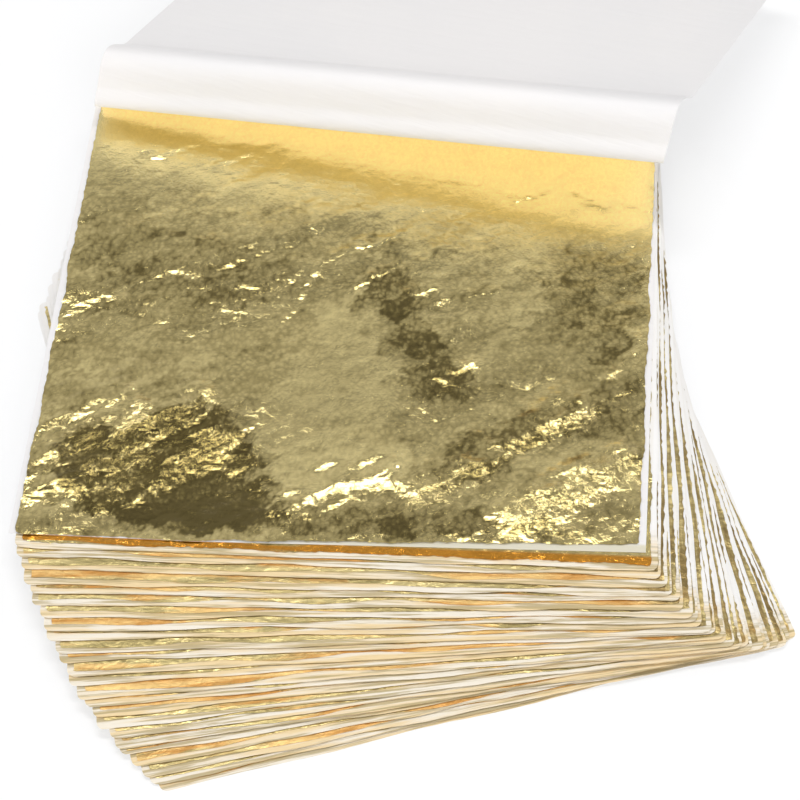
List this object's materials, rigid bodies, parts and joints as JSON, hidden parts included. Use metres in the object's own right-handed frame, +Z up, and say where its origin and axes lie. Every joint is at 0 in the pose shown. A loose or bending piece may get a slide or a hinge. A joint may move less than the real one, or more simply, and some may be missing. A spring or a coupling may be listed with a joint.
{
  "type": "gold leaf booklet",
  "caption": "Fanned pile of thin square metal leaves, each on a tissue square, the top tissue page turned back; used for gilding.",
  "frame": {"origin": "middle of the bounding box's base, on the underside of the lowest tissue", "axes": "+Z up from the table through the pile; +Y from the near edge of the top leaf towards its fold; +X to the right along that edge"},
  "size_m": [0.1848, 0.3032, 0.0374],
  "materials": {
    "tissue": "matt thin paper",
    "metal_leaf": "bright crumpled foil"
  },
  "bodies": {
    "bottom_pair": {"tissue_01": "tissue", "leaf_01": "metal_leaf"},
    "pair_02": {"tissue_02": "tissue", "leaf_02": "metal_leaf"},
    "pair_03": {"tissue_03": "tissue", "leaf_03": "metal_leaf"},
    "pair_04": {"tissue_04": "tissue", "leaf_04": "metal_leaf"},
    "pair_05": {"tissue_05": "tissue", "leaf_05": "metal_leaf"},
    "pair_06": {"tissue_06": "tissue", "leaf_06": "metal_leaf"},
    "pair_07": {"tissue_07": "tissue", "leaf_07": "metal_leaf"},
    "pair_08": {"tissue_08": "tissue", "leaf_08": "metal_leaf"},
    "pair_09": {"tissue_09": "tissue", "leaf_09": "metal_leaf"},
    "pair_10": {"tissue_10": "tissue", "leaf_10": "metal_leaf"},
    "pair_11": {"tissue_11": "tissue", "leaf_11": "metal_leaf"},
    "pair_12": {"tissue_12": "tissue", "leaf_12": "metal_leaf"},
    "pair_13": {"tissue_13": "tissue", "leaf_13": "metal_leaf"},
    "pair_14": {"tissue_14": "tissue", "leaf_14": "metal_leaf"},
    "pair_15": {"tissue_15": "tissue", "leaf_15": "metal_leaf"},
    "pair_16": {"tissue_16": "tissue", "leaf_16": "metal_leaf"},
    "pair_17": {"tissue_17": "tissue", "leaf_17": "metal_leaf"},
    "pair_18": {"tissue_18": "tissue", "leaf_18": "metal_leaf"},
    "pair_19": {"tissue_19": "tissue", "leaf_19": "metal_leaf"},
    "pair_20": {"tissue_20": "tissue", "leaf_20": "metal_leaf"},
    "pair_21": {"tissue_21": "tissue", "leaf_21": "metal_leaf"},
    "pair_22": {"tissue_22": "tissue", "leaf_22": "metal_leaf"},
    "pair_23": {"tissue_23": "tissue", "leaf_23": "metal_leaf"},
    "pair_24": {"tissue_24": "tissue", "leaf_24": "metal_leaf"},
    "top_pair": {"tissue_25": "tissue", "leaf_25": "metal_leaf"},
    "page_strip_01": {"page_01": "tissue"},
    "page_strip_02": {"page_02": "tissue"},
    "page_strip_03": {"page_03": "tissue"}
  },
  "joints": [
    {"name": "fan_turn", "type": "hinge", "parent": "bottom_pair", "child": "pair_24", "pos_m": [0.10408, -0.00551, 0.0092], "axis": [0, 0, 1], "range_deg": [0, 18.83]},
    {"name": "fan_turn_02", "type": "hinge", "parent": "bottom_pair", "child": "pair_02", "pos_m": [0.01943, -0.02587, 0.0004], "axis": [0, 0, 1], "range_deg": [0, 0.9638]},
    {"name": "fan_turn_03", "type": "hinge", "parent": "bottom_pair", "child": "pair_03", "pos_m": [0.01949, -0.05216, 0.0008], "axis": [0, 0, 1], "range_deg": [0, 2.28]},
    {"name": "fan_turn_04", "type": "hinge", "parent": "bottom_pair", "child": "pair_04", "pos_m": [0.03711, -0.04014, 0.0012], "axis": [0, 0, 1], "range_deg": [0, 3.31]},
    {"name": "fan_turn_05", "type": "hinge", "parent": "bottom_pair", "child": "pair_05", "pos_m": [0.03946, -0.03705, 0.0016], "axis": [0, 0, 1], "range_deg": [0, 4.73]},
    {"name": "fan_turn_06", "type": "hinge", "parent": "bottom_pair", "child": "pair_06", "pos_m": [0.03713, -0.0425, 0.002], "axis": [0, 0, 1], "range_deg": [0, 5.69]},
    {"name": "fan_turn_07", "type": "hinge", "parent": "bottom_pair", "child": "pair_07", "pos_m": [0.04398, -0.04144, 0.0024], "axis": [0, 0, 1], "range_deg": [0, 6.5]},
    {"name": "fan_turn_08", "type": "hinge", "parent": "bottom_pair", "child": "pair_08", "pos_m": [0.04249, -0.03635, 0.0028], "axis": [0, 0, 1], "range_deg": [0, 7.83]},
    {"name": "fan_turn_09", "type": "hinge", "parent": "bottom_pair", "child": "pair_09", "pos_m": [0.05052, -0.03684, 0.0032], "axis": [0, 0, 1], "range_deg": [0, 8.66]},
    {"name": "fan_turn_10", "type": "hinge", "parent": "bottom_pair", "child": "pair_10", "pos_m": [0.05018, -0.03785, 0.0036], "axis": [0, 0, 1], "range_deg": [0, 9.89]},
    {"name": "fan_turn_11", "type": "hinge", "parent": "bottom_pair", "child": "pair_11", "pos_m": [0.0521, -0.03269, 0.004], "axis": [0, 0, 1], "range_deg": [0, 10.44]},
    {"name": "fan_turn_12", "type": "hinge", "parent": "bottom_pair", "child": "pair_12", "pos_m": [0.05745, -0.03003, 0.0044], "axis": [0, 0, 1], "range_deg": [0, 11.49]},
    {"name": "fan_turn_13", "type": "hinge", "parent": "bottom_pair", "child": "pair_13", "pos_m": [0.06007, -0.03103, 0.0048], "axis": [0, 0, 1], "range_deg": [0, 12.19]},
    {"name": "fan_turn_14", "type": "hinge", "parent": "bottom_pair", "child": "pair_14", "pos_m": [0.06533, -0.02804, 0.0052], "axis": [0, 0, 1], "range_deg": [0, 13.08]},
    {"name": "fan_turn_15", "type": "hinge", "parent": "bottom_pair", "child": "pair_15", "pos_m": [0.06586, -0.02757, 0.0056], "axis": [0, 0, 1], "range_deg": [0, 13.82]},
    {"name": "fan_turn_16", "type": "hinge", "parent": "bottom_pair", "child": "pair_16", "pos_m": [0.06982, -0.02331, 0.006], "axis": [0, 0, 1], "range_deg": [0, 14.68]},
    {"name": "fan_turn_17", "type": "hinge", "parent": "bottom_pair", "child": "pair_17", "pos_m": [0.07402, -0.02191, 0.0064], "axis": [0, 0, 1], "range_deg": [0, 15.08]},
    {"name": "fan_turn_18", "type": "hinge", "parent": "bottom_pair", "child": "pair_18", "pos_m": [0.07752, -0.02185, 0.0068], "axis": [0, 0, 1], "range_deg": [0, 15.95]},
    {"name": "fan_turn_19", "type": "hinge", "parent": "bottom_pair", "child": "pair_19", "pos_m": [0.08012, -0.01769, 0.0072], "axis": [0, 0, 1], "range_deg": [0, 16.72]},
    {"name": "fan_turn_20", "type": "hinge", "parent": "bottom_pair", "child": "pair_20", "pos_m": [0.08673, -0.01576, 0.0076], "axis": [0, 0, 1], "range_deg": [0, 17.01]},
    {"name": "fan_turn_21", "type": "hinge", "parent": "bottom_pair", "child": "pair_21", "pos_m": [0.08909, -0.01158, 0.008], "axis": [0, 0, 1], "range_deg": [0, 17.48]},
    {"name": "fan_turn_22", "type": "hinge", "parent": "bottom_pair", "child": "pair_22", "pos_m": [0.09368, -0.01167, 0.0084], "axis": [0, 0, 1], "range_deg": [0, 18.27]},
    {"name": "fan_turn_23", "type": "hinge", "parent": "bottom_pair", "child": "pair_23", "pos_m": [0.10002, -0.00744, 0.0088], "axis": [0, 0, 1], "range_deg": [0, 18.56]},
    {"name": "top_lift", "type": "slide", "parent": "pair_24", "child": "top_pair", "axis": [0, 0, 1], "range_m": [0, 0.06]},
    {"name": "page_turn", "type": "hinge", "parent": "top_pair", "child": "page_strip_01", "pos_m": [-0.08575, 0.05132, 0.00996], "axis": [1, 0, 0], "range_deg": [0, 25]},
    {"name": "page_bend_01", "type": "hinge", "parent": "page_strip_01", "child": "page_strip_02", "pos_m": [-0.08575, 0.03964, 0.01567], "axis": [0.9826, -0.1682, 0.0784], "range_deg": [0, 88]},
    {"name": "page_bend_02", "type": "hinge", "parent": "page_strip_02", "child": "page_strip_03", "pos_m": [-0.08381, 0.04353, 0.02578], "axis": [0.9826, -0.1682, 0.0784], "range_deg": [0, 80.8]}
  ],
  "couplings": [
    {"joint": "fan_turn_02", "follows": "fan_turn", "ratio": 0.050653},
    {"joint": "fan_turn_03", "follows": "fan_turn", "ratio": 0.12038},
    {"joint": "fan_turn_04", "follows": "fan_turn", "ratio": 0.1753},
    {"joint": "fan_turn_05", "follows": "fan_turn", "ratio": 0.25046},
    {"joint": "fan_turn_06", "follows": "fan_turn", "ratio": 0.30148},
    {"joint": "fan_turn_07", "follows": "fan_turn", "ratio": 0.34469},
    {"joint": "fan_turn_08", "follows": "fan_turn", "ratio": 0.41516},
    {"joint": "fan_turn_09", "follows": "fan_turn", "ratio": 0.45915},
    {"joint": "fan_turn_10", "follows": "fan_turn", "ratio": 0.52454},
    {"joint": "fan_turn_11", "follows": "fan_turn", "ratio": 0.5541},
    {"joint": "fan_turn_12", "follows": "fan_turn", "ratio": 0.60974},
    {"joint": "fan_turn_13", "follows": "fan_turn", "ratio": 0.64707},
    {"joint": "fan_turn_14", "follows": "fan_turn", "ratio": 0.69413},
    {"joint": "fan_turn_15", "follows": "fan_turn", "ratio": 0.73339},
    {"joint": "fan_turn_16", "follows": "fan_turn", "ratio": 0.77888},
    {"joint": "fan_turn_17", "follows": "fan_turn", "ratio": 0.80022},
    {"joint": "fan_turn_18", "follows": "fan_turn", "ratio": 0.84647},
    {"joint": "fan_turn_19", "follows": "fan_turn", "ratio": 0.88726},
    {"joint": "fan_turn_20", "follows": "fan_turn", "ratio": 0.90274},
    {"joint": "fan_turn_21", "follows": "fan_turn", "ratio": 0.92794},
    {"joint": "fan_turn_22", "follows": "fan_turn", "ratio": 0.96988},
    {"joint": "fan_turn_23", "follows": "fan_turn", "ratio": 0.98533},
    {"joint": "page_bend_01", "follows": "page_turn", "ratio": 3.52},
    {"joint": "page_bend_02", "follows": "page_turn", "ratio": 3.232}
  ]
}
